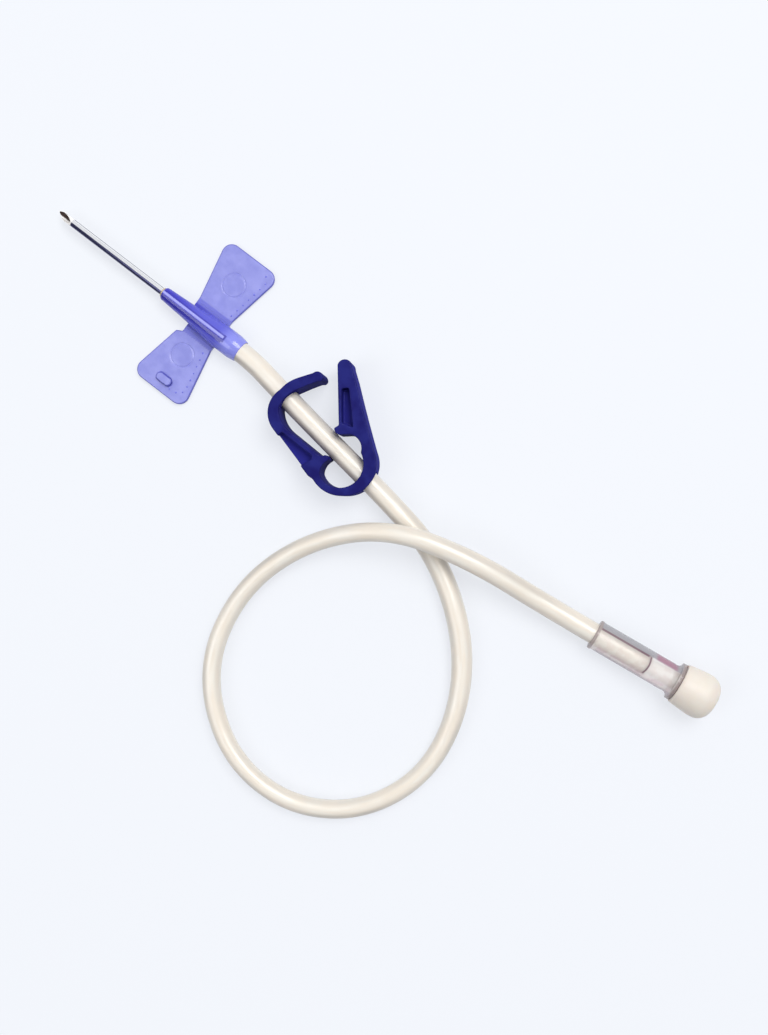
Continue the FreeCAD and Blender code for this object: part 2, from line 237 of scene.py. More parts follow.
class Shade:
    """One output of a material's nodes, so that shader maths reads as plain expressions."""

    def __init__(self, tree, socket):
        self.tree = tree
        self.socket = socket

    @classmethod
    def node(cls, tree, kind, settings=(), inputs=(), output=0):
        """One output of a new node, with its settings made first and then its values and links."""
        made = tree.nodes.new(kind)
        for name, value in dict(settings).items():
            setattr(made, name, value)
        for name, value in dict(inputs).items():
            if isinstance(value, Shade):
                tree.links.new(value.socket, made.inputs[name])
            else:
                made.inputs[name].default_value = value
        return cls(tree, made.outputs[output])

    def maths(self, operation, *others):
        """This value and the others through one Math node."""
        inputs = dict(enumerate((self, *others)))
        return Shade.node(self.tree, "ShaderNodeMath", {"operation": operation}, inputs)

    def __add__(self, other):
        return self.maths("ADD", other)

    def __mul__(self, other):
        return self.maths("MULTIPLY", other)

    def __sub__(self, other):
        return self.maths("SUBTRACT", other)

    def __rsub__(self, other):
        return self.maths("MULTIPLY_ADD", -1.0, other)

    __radd__ = __add__
    __rmul__ = __mul__

    def between(self, low, high):
        """0 below low and 1 above high, with a smooth step between them."""
        ends = {"Value": self, "From Min": low, "From Max": high}
        return Shade.node(
            self.tree, "ShaderNodeMapRange", {"interpolation_type": "SMOOTHSTEP"}, ends
        )

    def band(self, rise, fall):
        """1 from the end of the rise to the start of the fall, and 0 outside the two."""
        return self.between(*rise) * (1.0 - self.between(*fall))

    def mix(self, first, second):
        """Colour that goes from first to second as this value goes from 0 to 1."""
        inputs = {0: self, 6: rgba(first), 7: rgba(second)}
        return Shade.node(self.tree, "ShaderNodeMix", {"data_type": "RGBA"}, inputs, 2)


def eased(value, low, high):
    """0 below low and 1 above high, with a smooth step between them."""
    share = min(max((value - low) / (high - low), 0.0), 1.0)
    return share * share * (3 - 2 * share)


def rgba(colour):
    """A colour as a node socket takes it, or the node output that it already is."""
    return colour if isinstance(colour, Shade) else (*colour, 1.0)


class Finish:
    """A material with one Principled shader, and the places and patterns its nodes start from."""

    def __init__(self, name, **constants):
        self.material = bpy.data.materials.new(name)
        self.material.use_nodes = True
        self.tree = self.material.node_tree
        self.shader = self.tree.nodes["Principled BSDF"]
        for socket, value in constants.items():
            self.shader.inputs[socket.replace("_", " ")].default_value = value

    def node(self, kind, settings=(), inputs=(), output=0):
        return Shade.node(self.tree, kind, settings, inputs, output)

    def place(self):
        """X, Y and Z of the point on the piece, in metres."""
        spot = self.node("ShaderNodeTexCoord", output=3)
        return [self.node("ShaderNodeSeparateXYZ", (), {0: spot}, axis) for axis in range(3)]

    def noise(self, scale, detail=2.0, stretch=(1, 1, 1)):
        """An uneven value from 0 to 1 over the piece, with this many waves to a metre."""
        spot = self.node("ShaderNodeTexCoord", output=3)
        spot = self.node("ShaderNodeMapping", (), {"Vector": spot, "Scale": stretch})
        return self.node(
            "ShaderNodeTexNoise", (), {"Vector": spot, "Scale": scale, "Detail": detail}
        )

    def bump(self, height, strength, distance):
        """The surface's direction where this height roughens it."""
        inputs = {"Height": height, "Strength": strength, "Distance": distance}
        return self.node("ShaderNodeBump", (), inputs)

    def feed(self, **links):
        """The material, once what varies over the surface is linked to its sockets."""
        for socket, value in links.items():
            self.tree.links.new(value.socket, self.shader.inputs[socket.replace("_", " ")])
        return self.material


def dress(piece, material, slot):
    """Gives the piece one material and names the slot that stands for it."""
    piece.data.materials.clear()
    piece.data.materials.append(material)
    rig.slot(piece, slot)


spine = bpy.data.curves.new("tubing_line", "CURVE")
spine.dimensions = "3D"
spine.resolution_u = TUBE_STEPS
run = spine.splines.new("NURBS")
run.points.add(len(route) - 1)
for point, (x, y, z) in zip(run.points, route):
    point.co = (x * MM, y * MM, z * MM, 1.0)
run.order_u = 3
run.use_endpoint_u = True
line = bpy.data.objects.new("tubing_line", spine)
scene.collection.objects.link(line)
path_mesh = bpy.data.meshes.new_from_object(line)
path = [vertex.co.copy() for vertex in path_mesh.vertices]
bpy.data.objects.remove(line)

tube_mesh = bpy.data.meshes.new("tubing")
bm = bmesh.new()
uv = bm.loops.layers.uv.new("along")
rings = []
travelled = 0.0
across = Vector((0, 0, 1))
for i, here in enumerate(path):
    ahead = path[min(i + 1, len(path) - 1)] - path[max(i - 1, 0)]
    ahead.normalize()
    across = (across - ahead * across.dot(ahead)).normalized()
    side = ahead.cross(across)
    travelled += (here - path[max(i - 1, 0)]).length
    ring = []
    slim = eased(travelled, *SLIM_FROM) * (1 - eased(travelled, *SLIM_TO))
    narrow = 1 - slim * (1 - TUBE_SLIM)
    for radius in (TUBE_OUTER / 2 * narrow, TUBE_BORE / 2 * narrow):
        for k in range(TUBE_SIDES):
            turn = 2 * math.pi * k / TUBE_SIDES
            outward = math.cos(turn) * across + math.sin(turn) * side
            ring.append(bm.verts.new(here + radius * outward))
    rings.append((ring, travelled))
for (first, u0), (second, u1) in zip(rings, rings[1:]):
    for k in range(TUBE_SIDES):
        n = (k + 1) % TUBE_SIDES
        for start, flip in ((0, False), (TUBE_SIDES, True)):
            corners = [first[start + k], first[start + n], second[start + n], second[start + k]]
            places = [(u0, k), (u0, k + 1), (u1, k + 1), (u1, k)]
            if flip:
                corners.reverse()
                places.reverse()
            face = bm.faces.new(corners)
            face.smooth = True
            for loop, (u, v) in zip(face.loops, places):
                loop[uv].uv = (u, v / TUBE_SIDES)
for (ring, u0), flip in ((rings[0], True), (rings[-1], False)):
    for k in range(TUBE_SIDES):
        n = (k + 1) % TUBE_SIDES
        corners = [ring[k], ring[n], ring[TUBE_SIDES + n], ring[TUBE_SIDES + k]]
        bm.faces.new(corners[::-1] if flip else corners)
bmesh.ops.recalc_face_normals(bm, faces=bm.faces)
bm.to_mesh(tube_mesh)
bm.free()
tubing = bpy.data.objects.new("tubing", tube_mesh)
scene.collection.objects.link(tubing)

# Seen from above, both flanks are painted grey as shade, more so where the tubing leaves the hub,
# and the bore makes a pale band between them. U runs along the tubing, V round it.
vinyl = Finish("clear_vinyl", Roughness=0.28, IOR=1.45, Transmission_Weight=0.3, Coat_Weight=0.25)
spot = vinyl.node("ShaderNodeTexCoord", output=2)
u, v = [vinyl.node("ShaderNodeSeparateXYZ", (), {0: spot}, axis) for axis in range(2)]
streak = vinyl.node("ShaderNodeCombineXYZ", (), {0: u * STREAKS_ALONG, 1: v * STREAKS_ROUND})
streak = vinyl.node("ShaderNodeTexNoise", (), {"Vector": streak, "Scale": 1.0, "Detail": 3.0})
sideways = (v * (2 * math.pi)).maths("SINE")
left = sideways.between(0.30, 0.80) * (1.0 - sideways.between(0.90, 1.0) * 0.6)
other_way = sideways * -1.0
right = other_way.between(0.20, 0.75) * (1.0 - other_way.between(0.88, 1.0) * 0.6)
near_hub = 1.0 - u.between(*NEAR_HUB)
patch = vinyl.node("ShaderNodeCombineXYZ", (), {0: u * PATCHES_ALONG})
patch = vinyl.node("ShaderNodeTexNoise", (), {"Vector": patch, "Scale": 1.0, "Detail": 1.0})
patch = patch.between(0.38, 0.62) * 0.6 + 0.4
flank = left * (near_hub * 0.62 + 0.28) + right * (0.62 - near_hub * 0.30) * patch
flank = flank * (streak.between(0.25, 0.65) * 0.5 + 0.5)
cream = streak.between(0.35, 0.7).mix(CREAM, CREAM_LIGHT)
dress(tubing, vinyl.feed(Base_Color=flank.mix(cream, FLANK_SHADE_GREY)), "tube_clear")
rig.ride(tubing, "root")
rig.replaces(tubing, "tube")

# Winged hub: one soft moulding of translucent blue vinyl. The body is round, slim at its nose, and
# thickest where the tubing is glued in. The wings join it at a thin plate flush with its underside,
# and bend up where that plate ends.
AXIS_HEIGHT = 2.95 * MM
HUB_OUTSIDE = [
    (-4.5, 0.0), (-4.5, 1.0), (-4.54, 1.23), (-4.68, 1.42), (-4.87, 1.55), (-5.1, 1.6), (-11.3, 2.0),
    (-21.3, 2.95), (-24.5, 2.95), (-25.2, 2.93), (-26.2, 2.80), (-27.1, 2.62), (-27.1, 0.0),
]
HUB_INSIDE = [
    (-28.0, 0.0), (-28.0, 2.42), (-22.9, 2.42), (-22.9, 0.935), (-5.2, 0.935), (-5.2, 1.005),
    (-4.5, 1.22), (-4.0, 1.22), (-4.0, 0.0),
]
PLATE_REAR = -20.85 * MM
PLATE_FRONT = -11.35 * MM
PLATE_NOTCH = -12.75 * MM
PLATE_REACH = 4.3 * MM
PLATE_THICK = 1.1 * MM
WING_MIDDLE = -16.1 * MM
SEAM = 3.2 * MM
BEND_END = 4.1 * MM
TURNED_SIDES = 96
MOULD_VOXEL = 0.1 * MM
EASE_ROUNDS = 5
BODY_EDGE = (2.6 * MM, 3.0 * MM)
ROOT_EDGE = (4.0 * MM, 4.3 * MM)
SOCKET_BLUE = (0.27, 0.29, 0.84)
BODY_BLUE = (0.115, 0.12, 0.66)
NOSE_BLUE = (0.044, 0.038, 0.54)
WING_BLUE = (0.265, 0.28, 0.71)
WING_PALE = (0.335, 0.35, 0.79)
# The deeper blue at the wings' root is painted shade.
ROOT_SHADE_BLUE = (0.19, 0.20, 0.69)


def mesh_piece(name, bm):
    """The finished mesh as an object at the origin."""
    mesh = bpy.data.meshes.new(name)
    bm.to_mesh(mesh)
    bm.free()
    piece = bpy.data.objects.new(name, mesh)
    scene.collection.objects.link(piece)
    return piece


def add_turned(bm, outline, height, sides=TURNED_SIDES):
    """Adds the closed solid that an outline of (x, radius) in millimetres makes about the X axis."""
    rings = []
    for x, radius in outline:
        if radius == 0:
            rings.append([bm.verts.new((x * MM, 0, height))] * sides)
            continue
        turns = [2 * math.pi * k / sides for k in range(sides)]
        rings.append([
            bm.verts.new((x * MM, radius * MM * math.cos(t), height + radius * MM * math.sin(t)))
            for t in turns
        ])
    for near, far in zip(rings, rings[1:]):
        for k in range(sides):
            corners = [near[k], near[(k + 1) % sides], far[(k + 1) % sides], far[k]]
            corners = list(dict.fromkeys(corners))
            if len(corners) > 2:
                bm.faces.new(corners)


def add_block(bm, low, high):
    """Adds a box between two corners."""
    size = Vector(high) - Vector(low)
    middle = (Vector(high) + Vector(low)) / 2
    place = Matrix.Translation(middle) @ Matrix.Diagonal((*size, 1.0))
    bmesh.ops.create_cube(bm, size=1.0, matrix=place)


def add_node(bm, node):
    """Adds a copy of a node's mesh, with its loose triangles joined up."""
    before = len(bm.verts)
    bm.from_mesh(nodes[node].data)
    bm.verts.ensure_lookup_table()
    bmesh.ops.remove_doubles(bm, verts=bm.verts[before:], dist=1e-6)


def finished(piece):
    """The piece with its modifiers made part of its mesh."""
    graph = bpy.context.evaluated_depsgraph_get()
    mesh = bpy.data.meshes.new_from_object(piece.evaluated_get(graph))
    piece.modifiers.clear()
    piece.data = mesh
    return piece


def moulded(name, bm, voxel, rounds):
    """One moulding made of all the solids in bm, with filled inner corners and eased edges."""
    bmesh.ops.recalc_face_normals(bm, faces=bm.faces)
    piece = mesh_piece(name, bm)
    remesh = piece.modifiers.new("skin", "REMESH")
    remesh.mode = "VOXEL"
    remesh.voxel_size = voxel
    remesh.use_smooth_shade = True
    ease = piece.modifiers.new("ease", "SMOOTH")
    ease.factor = 0.5
    ease.iterations = rounds
    return finished(piece)


def share(piece, name, wanted):
    """A new piece with the faces of this one whose middle is in the wanted region."""
    bm = bmesh.new()
    bm.from_mesh(piece.data)
    others = [face for face in bm.faces if not wanted(face.calc_center_median())]
    bmesh.ops.delete(bm, geom=others, context="FACES")
    return mesh_piece(name, bm)


def split(piece, point, normal):
    """Adds edges along a plane, so that the mesh can be shared out there."""
    bm = bmesh.new()
    bm.from_mesh(piece.data)
    every = bm.verts[:] + bm.edges[:] + bm.faces[:]
    bmesh.ops.bisect_plane(bm, geom=every, plane_co=point, plane_no=normal, dist=1e-8)
    bm.to_mesh(piece.data)
    bm.free()


bm = bmesh.new()
add_turned(bm, HUB_OUTSIDE, AXIS_HEIGHT)
add_block(bm, (PLATE_REAR, -PLATE_REACH, 0), (PLATE_FRONT, 0, PLATE_THICK))
add_block(bm, (PLATE_REAR, 0, 0), (PLATE_NOTCH, PLATE_REACH, PLATE_THICK))
add_node(bm, "wing_peg_side")
add_node(bm, "wing_plain_side")
whole = moulded("winged_hub", bm, MOULD_VOXEL, EASE_ROUNDS)
bm = bmesh.new()
add_turned(bm, HUB_INSIDE, AXIS_HEIGHT)
bmesh.ops.recalc_face_normals(bm, faces=bm.faces)
core = mesh_piece("core_pin", bm)
hollow = whole.modifiers.new("hollow", "BOOLEAN")
hollow.operation = "DIFFERENCE"
hollow.object = core
finished(whole)
bpy.data.objects.remove(core)
for side in (-1, 1):
    split(whole, (0, side * SEAM, 0), (0, 1, 0))

# The vinyl is palest over the tubing's socket and deepest at the nose.
blue = Finish("blue_vinyl", IOR=1.5, Transmission_Weight=0.2, Coat_Weight=0.15)
x, y, z = blue.place()
outward = y.maths("ABSOLUTE")
cloud = blue.noise(420.0, 3.0)
body_tone = x.between(-24.5 * MM, -20.5 * MM).mix(SOCKET_BLUE, BODY_BLUE)
body_tone = x.between(-17.5 * MM, -5.5 * MM).mix(body_tone, NOSE_BLUE)

# The needle shows through the body as painted light: a pale line of painted highlight with dark lines
# of painted shade beside it, up to its rear end, which is painted as a dark spot of shade. All of it is
# colour on the body.
LINES_FROM = (-22.8 * MM, -22.6 * MM)
WIDE_SHADE = ((0.1 * MM, 0.3 * MM), (1.0 * MM, 1.6 * MM))
THIN_SHADE = ((-0.95 * MM, -0.8 * MM), (-0.62 * MM, -0.5 * MM))
HIGHLIGHT_LINE = ((-0.6 * MM, -0.38 * MM), (-0.1 * MM, 0.22 * MM))
REAR_END = ((-23.3 * MM, -23.0 * MM), (-22.6 * MM, -22.1 * MM))
REAR_END_SIDE = (0.8 * MM, 1.0 * MM)
NEEDLE_SHADE_BLUE = (0.03, 0.025, 0.33)
NEEDLE_HIGHLIGHT_BLUE = (0.42, 0.43, 0.92)
inside = x.between(*LINES_FROM)
wide = y.band(*WIDE_SHADE) * inside
thin = y.band(*THIN_SHADE) * inside
pale = y.band(*HIGHLIGHT_LINE) * inside
rear_end = x.band(*REAR_END) * (1.0 - outward.between(*REAR_END_SIDE))
dark = (wide * 0.85).maths("MAXIMUM", thin * 0.6).maths("MAXIMUM", rear_end * 0.8)
body_tone = pale.mix(dark.mix(body_tone, NEEDLE_SHADE_BLUE), NEEDLE_HIGHLIGHT_BLUE)

# The wings are paler, with painted shade as a darker line along every edge, round the grip ring and round
# the peg, and as a deeper blue at the root. A fine dashed crease across the root on the peg's side is
# painted as dashes of shade.
RIM_WIDTH = 0.38 * MM
RIM_START = 0.05 * MM
RIM_STEEP = 0.55
RIM_SHADE_BLUE = (0.10, 0.105, 0.50)
CREASE = ((4.1 * MM, 4.2 * MM), (4.3 * MM, 4.4 * MM))
CREASE_SHADE_BLUE = (0.13, 0.13, 0.56)
DASH_PITCH = 0.6 * MM


def mark_rims(wing):
    """Writes how near each point is to an edge, groove or peg of the wing, as 0 to 1."""
    mesh = wing.data
    steep = [
        vertex.co for vertex in mesh.vertices
        if abs(vertex.normal.z) < RIM_STEEP and abs(vertex.co.y) > BEND_END
    ]
    tree = kdtree.KDTree(len(steep))
    for i, place in enumerate(steep):
        tree.insert(place, i)
    tree.balance()
    near = [
        1 - eased(tree.find(vertex.co)[2], RIM_START, RIM_WIDTH) for vertex in mesh.vertices
    ]
    mesh.attributes.new("rim", "FLOAT", "POINT").data.foreach_set("value", near)


# Painted shade: deeper at the root, darker along the rims, and in dashes along the crease.
wing_tone = cloud.between(0.3, 0.75).mix(WING_BLUE, WING_PALE)
rim = blue.node("ShaderNodeAttribute", {"attribute_name": "rim"}, output=2)
wing_tone = outward.between(*ROOT_EDGE).mix(ROOT_SHADE_BLUE, rim.mix(wing_tone, RIM_SHADE_BLUE))
dashes = (x * (2 * math.pi / DASH_PITCH)).maths("SINE").between(-0.2, 0.4)
crease = y.band(*CREASE) * dashes
wing_tone = (crease * 0.6).mix(wing_tone, CREASE_SHADE_BLUE)
blue.feed(
    Base_Color=outward.between(*BODY_EDGE).mix(body_tone, wing_tone),
    Roughness=outward.between(2 * MM, 4 * MM) * 0.12 + 0.18,
    Normal=blue.bump(blue.noise(1500.0, 2.0), 0.12, 0.05 * MM),
)
hub = share(whole, "hub_body", lambda middle: abs(middle.y) < SEAM)
dress(hub, blue.material, "hub_blue")
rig.ride(hub, "root")
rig.replaces(hub, "hub")
for body, side in (("wing_peg_side", 1), ("wing_plain_side", -1)):
    wing = share(whole, body + "_flap", lambda middle: side * middle.y > SEAM)
    mark_rims(wing)
    dress(wing, blue.material, "hub_blue")
    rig.blend(
        wing, "root", body,
        start=(WING_MIDDLE, side * SEAM, PLATE_THICK / 2),
        end=(WING_MIDDLE, side * BEND_END, PLATE_THICK / 2),
    )
    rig.replaces(wing, body)
bpy.data.objects.remove(whole)

# Grip dots: a row of small raised dots along the rear and outer edges of each wing, part of the
# moulding, where the thicker vinyl looks darker. They follow a line drawn inside the wing's edge.
DOT_RADIUS = 0.24 * MM
DOT_RISE = 0.14 * MM
DOT_UNEVEN = 0.7
DOT_SEED = 7
DOT_SIDES = 14
DOT_RINGS = 8
DOT_DARK = (0.13, 0.14, 0.60)
DOT_PALE = (0.18, 0.19, 0.68)
PEG_SIDE_ROW = [
    (-19.7, 5.6), (-20.6, 9.6), (-21.4, 13.4), (-21.6, 15.4), (-20.6, 16.6), (-18.4, 16.9),
]
PLAIN_SIDE_ROW = [(-19.9, -5.2), (-20.7, -9.4), (-21.5, -13.6), (-21.9, -15.8), (-20.9, -17.1)]
DOT_ROWS = {"wing_peg_side": (PEG_SIDE_ROW, 9), "wing_plain_side": (PLAIN_SIDE_ROW, 8)}
dot_blue = Finish("dot_blue", Roughness=0.35)
dot_blue.feed(Base_Color=dot_blue.noise(900.0).mix(DOT_DARK, DOT_PALE))
dots = bpy.data.node_groups.new("grip_dots", "GeometryNodeTree")
for name, kind in (
    ("Line", "NodeSocketGeometry"), ("Count", "NodeSocketInt"), ("Radius", "NodeSocketFloat"),
    ("Rise", "NodeSocketFloat"), ("Uneven", "NodeSocketFloat"), ("Material", "NodeSocketMaterial"),
):
    dots.interface.new_socket(name=name, in_out="INPUT", socket_type=kind)
dots.interface.new_socket(name="Dots", in_out="OUTPUT", socket_type="NodeSocketGeometry")
made = {}
for key, kind in {
    "start": "NodeGroupInput", "line": "GeometryNodeMeshToCurve",
    "points": "GeometryNodeCurveToPoints",
    "jitter": "FunctionNodeRandomValue", "dot": "GeometryNodeMeshUVSphere",
    "size": "ShaderNodeCombineXYZ", "vary": "ShaderNodeVectorMath",
    "place": "GeometryNodeInstanceOnPoints",
    "real": "GeometryNodeRealizeInstances", "smooth": "GeometryNodeSetShadeSmooth",
    "skin": "GeometryNodeSetMaterial", "end": "NodeGroupOutput",
}.items():
    made[key] = dots.nodes.new(kind)
made["vary"].operation = "SCALE"
made["dot"].inputs["Segments"].default_value = DOT_SIDES
made["dot"].inputs["Rings"].default_value = DOT_RINGS
made["dot"].inputs["Radius"].default_value = 1.0
made["jitter"].inputs["Seed"].default_value = DOT_SEED
for first, out, second, into in (
    ("start", "Line", "line", 0), ("line", 0, "points", "Curve"),
    ("start", "Count", "points", "Count"),
    ("points", "Points", "place", "Points"), ("dot", "Mesh", "place", "Instance"),
    ("start", "Radius", "size", "X"), ("start", "Radius", "size", "Y"),
    ("start", "Rise", "size", "Z"),
    ("size", 0, "vary", 0), ("start", "Uneven", "jitter", 2), ("jitter", 1, "vary", "Scale"),
    ("vary", 0, "place", "Scale"), ("place", 0, "real", 0), ("real", 0, "smooth", 0),
    ("smooth", 0, "skin", 0), ("start", "Material", "skin", "Material"), ("skin", 0, "end", 0),
):
    dots.links.new(made[first].outputs[out], made[second].inputs[into])
for body, (row, count) in DOT_ROWS.items():
    bm = bmesh.new()
    corners = [bm.verts.new((x * MM, y * MM, PLATE_THICK)) for x, y in row]
    for pair in zip(corners, corners[1:]):
        bm.edges.new(pair)
    grip = mesh_piece(body + "_dots", bm)
    setting = grip.modifiers.new("dots", "NODES")
    setting.node_group = dots
    values = {
        "Count": count, "Radius": DOT_RADIUS, "Rise": DOT_RISE, "Uneven": DOT_UNEVEN,
        "Material": dot_blue.material,
    }
    for item in dots.interface.items_tree:
        if item.in_out == "INPUT" and item.name in values:
            setting[item.identifier] = values[item.name]
    finished(grip)
    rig.slot(grip, "hub_blue")
    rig.ride(grip, body)

# Steel needle: thin-walled drawn tube, bright all along. Its tip is ground to one long bevel that
# faces up and a little to the plain side, and then to two short facets that make the point.
REAR, FRONT = -22.7, 27.1
BORE, OUTSIDE = 0.75, 0.915
NEEDLE_OUTLINE = [(REAR, BORE), (REAR, OUTSIDE), (FRONT, OUTSIDE), (FRONT, BORE), (REAR, BORE)]
NEEDLE_R = OUTSIDE * MM
NEEDLE_TIP = FRONT * MM
BEVEL = 4.7 * MM
BEVEL_ROLL = math.radians(-20.0)
FACET = 2.2 * MM
FACET_TURN = math.radians(32.0)
FACET_ROLL = math.radians(25.0)
POINT_FLAT = 0.02 * MM
GROUND_EDGE = math.radians(25)


def ground(piece, low, high, place):
    """Takes a box, put in place, out of the piece."""
    bm = bmesh.new()
    add_block(bm, low, high)
    bmesh.ops.transform(bm, matrix=place, verts=bm.verts)
    bmesh.ops.recalc_face_normals(bm, faces=bm.faces)
    wheel = mesh_piece("wheel", bm)
    cut = piece.modifiers.new("ground", "BOOLEAN")
    cut.operation = "DIFFERENCE"
    cut.object = wheel
    finished(piece)
    bpy.data.objects.remove(wheel)


bm = bmesh.new()
add_turned(bm, NEEDLE_OUTLINE, 0.0)
bmesh.ops.remove_doubles(bm, verts=bm.verts, dist=1e-8)
bmesh.ops.recalc_face_normals(bm, faces=bm.faces)
needle = mesh_piece("needle", bm)
reach = 2 * NEEDLE_R
slope = Matrix.Translation((NEEDLE_TIP - BEVEL, 0, NEEDLE_R))
slope = slope @ Matrix.Rotation(math.atan2(reach, BEVEL), 4, "Y")
ground(needle, (-reach, -reach, 0), (2 * BEVEL, reach, 2 * reach), slope)
for side in (-1, 1):
    flip = Matrix.Diagonal((1, side, 1, 1))
    turn = Matrix.Rotation(-FACET_TURN, 4, "Z") @ Matrix.Rotation(FACET_ROLL, 4, "X")
    place = flip @ Matrix.Translation((NEEDLE_TIP, POINT_FLAT, -NEEDLE_R)) @ turn
    ground(needle, (-2 * FACET, 0, -2 * reach), (FACET, 2 * reach, 2 * reach), place)
needle.data.transform(Matrix.Translation((0, 0, AXIS_HEIGHT)) @ Matrix.Rotation(BEVEL_ROLL, 4, "X"))
for polygon in needle.data.polygons:
    polygon.use_smooth = True
needle.data.set_sharp_from_angle(angle=GROUND_EDGE)

# The steel's colour holds a painted reflection: a dark band along one flank and a thin dark line along
# the other. The bore is painted dark on one side as shade, and the ground faces look matt and pale.
DARK_REFLECTION_BAND = ((-0.08 * MM, 0.08 * MM), (0.78 * MM, 0.88 * MM))
FLANK_ENDS = (22.2 * MM, 24.0 * MM)
FAR_REFLECTION_LINE = (-0.84 * MM, -0.74 * MM)
BORE_WALL = (0.78 * MM, 0.82 * MM)
BORE_SHADE = (0.1 * MM, 0.4 * MM)
GROUND_FROM = (22.2 * MM, 22.6 * MM)
STEEL_BRIGHT = (0.95, 0.955, 0.97)
STEEL_REFLECTION_LINE = (0.14, 0.14, 0.17)
STEEL_REFLECTION_DARK = (0.055, 0.055, 0.13)
STEEL_GROUND = (0.90, 0.87, 0.84)
BORE_SHADE_DARK = (0.05, 0.03, 0.025)
steel = Finish("drawn_steel")
x, y, z = steel.place()
drawn = steel.noise(900.0, 2.0, (0.02, 1, 1))
flank = y.band(*DARK_REFLECTION_BAND) * (1.0 - x.between(*FLANK_ENDS))
far_line = 1.0 - y.between(*FAR_REFLECTION_LINE)
wall = flank.mix(far_line.mix(STEEL_BRIGHT, STEEL_REFLECTION_LINE), STEEL_REFLECTION_DARK)
rise = z - AXIS_HEIGHT
inner = 1.0 - (y * y + rise * rise).maths("SQRT").between(*BORE_WALL)
shaded = inner * (1.0 - y.between(*BORE_SHADE))
tip = x.between(*GROUND_FROM)
tone = (tip * (1.0 - shaded)).mix(shaded.mix(wall, BORE_SHADE_DARK), STEEL_GROUND)
steel.feed(
    Base_Color=tone,
    Metallic=0.75 - tip * 0.6,
    Roughness=drawn * 0.1 + 0.1,
    Normal=steel.bump(drawn, 0.05, 0.02 * MM),
)
dress(needle, steel.material, "needle_steel")
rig.ride(needle, "root")
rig.replaces(needle, "cannula")

# Adhesive: the ring of cured glue that fills the cup in the hub's nose round the needle, and holds
# the needle there. It is clear and a little yellow.
AMBER = (0.55, 0.42, 0.25)
AMBER_PALE = (0.85, 0.72, 0.50)


def copied(node, name, angle):
    """A copy of a node's mesh, joined up and smooth except at edges sharper than the angle."""
    bm = bmesh.new()
    add_node(bm, node)
    piece = mesh_piece(name, bm)
    for polygon in piece.data.polygons:
        polygon.use_smooth = True
    piece.data.set_sharp_from_angle(angle=math.radians(angle))
    return piece


glue = copied("needle_bond", "nose_adhesive", 30)
amber = Finish("cured_adhesive", Roughness=0.2, Transmission_Weight=0.4)
dress(glue, amber.feed(Base_Color=amber.noise(2500.0).mix(AMBER, AMBER_PALE)), "adhesive")
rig.ride(glue, "root")
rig.replaces(glue, "needle_bond")

# Pinch clamp: one springy navy moulding. The stiff frame has the hook and one jaw, the stiff arm has
# the other jaw, and the thin bow between them bends when the arm is pressed in.
CLAMP_ORIGIN = (-42.362, 1.852)
CLAMP_HEADING = math.radians(172.075)
CLAMP_MIDDLE = 4.4
BOW_CUT = ((17.8, -6.5), (17.6, -8.45))
BOW_FILL = [((17.4, -8.2, 0.3), (18.1, -6.8, 8.5)), ((21.0, 3.6, 0.3), (23.0, 4.9, 8.5))]
CLAMP_VOXEL = 0.14 * MM
CLAMP_ROUNDS = 8
ARM_BACK = 10.5
ARM_FOOT = (5.0, 2.2)
TOP_EDGE = (7.6 * MM, 8.5 * MM)
SIDE_LIGHT_NAVY = (0.022, 0.022, 0.205)
TOP_NAVY = (0.012, 0.011, 0.105)
TOP_NAVY_PALE = (0.019, 0.021, 0.155)
to_scene = Matrix.Translation((CLAMP_ORIGIN[0] * MM, CLAMP_ORIGIN[1] * MM, 0))
to_scene = to_scene @ Matrix.Rotation(CLAMP_HEADING, 4, "Z")
to_row = to_scene.inverted()


def row(a, b, high=CLAMP_MIDDLE):
    """The place that is a along the tubing, b across it and this high, in millimetres."""
    return to_scene @ Vector((a * MM, b * MM, high * MM))


bm = bmesh.new()
for node in ("clamp_frame", "clamp_bow", "clamp_arm"):
    add_node(bm, node)
for low, high in BOW_FILL:
    fill = bmesh.new()
    add_block(fill, [v * MM for v in low], [v * MM for v in high])
    bmesh.ops.transform(fill, matrix=to_scene, verts=fill.verts)
    filler = bpy.data.meshes.new("filler")
    fill.to_mesh(filler)
    fill.free()
    bm.from_mesh(filler)
whole = moulded("clamp", bm, CLAMP_VOXEL, CLAMP_ROUNDS)
cut_way = Vector(BOW_CUT[1]) - Vector(BOW_CUT[0])
cut_normal = to_scene.to_3x3() @ Vector((-cut_way.y, cut_way.x, 0))
split(whole, row(*BOW_CUT[0]), cut_normal)


def past_frame(middle):
    """True on the bow and the arm, which bend away from the frame as the clamp closes."""
    a, b, _ = to_row @ middle
    a, b = a / MM, b / MM
    on_arm = b > ARM_BACK or (a > ARM_FOOT[0] and b > ARM_FOOT[1])
    return on_arm or cut_normal.dot(middle - row(*BOW_CUT[0])) > 0


# Painted light: the sides below the top edge are a lighter navy than the top, whose tone varies at random.
navy = Finish("navy_plastic", Roughness=0.5, Specular_IOR_Level=0.0, Coat_Weight=0.04)
cloud = navy.noise(260.0, 3.0)
x, y, z = navy.place()
top = cloud.between(0.3, 0.7).mix(TOP_NAVY, TOP_NAVY_PALE)
navy.feed(
    Base_Color=z.between(*TOP_EDGE).mix(SIDE_LIGHT_NAVY, top),
    Normal=navy.bump(navy.noise(3000.0), 0.05, 0.05 * MM),
)
clamp_frame = share(whole, "clamp_frame_part", lambda middle: not past_frame(middle))
clamp_arm = share(whole, "clamp_spring_part", past_frame)
for piece in (clamp_frame, clamp_arm):
    dress(piece, navy.material, "clamp_navy")
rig.ride(clamp_frame, "root")
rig.replaces(clamp_frame, "clamp_frame")
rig.blend(clamp_arm, "root", "clamp_arm", start=row(22.0, -7.0), end=row(22.0, 2.3))
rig.replaces(clamp_arm, "clamp_bow", "clamp_arm")
bpy.data.objects.remove(whole)

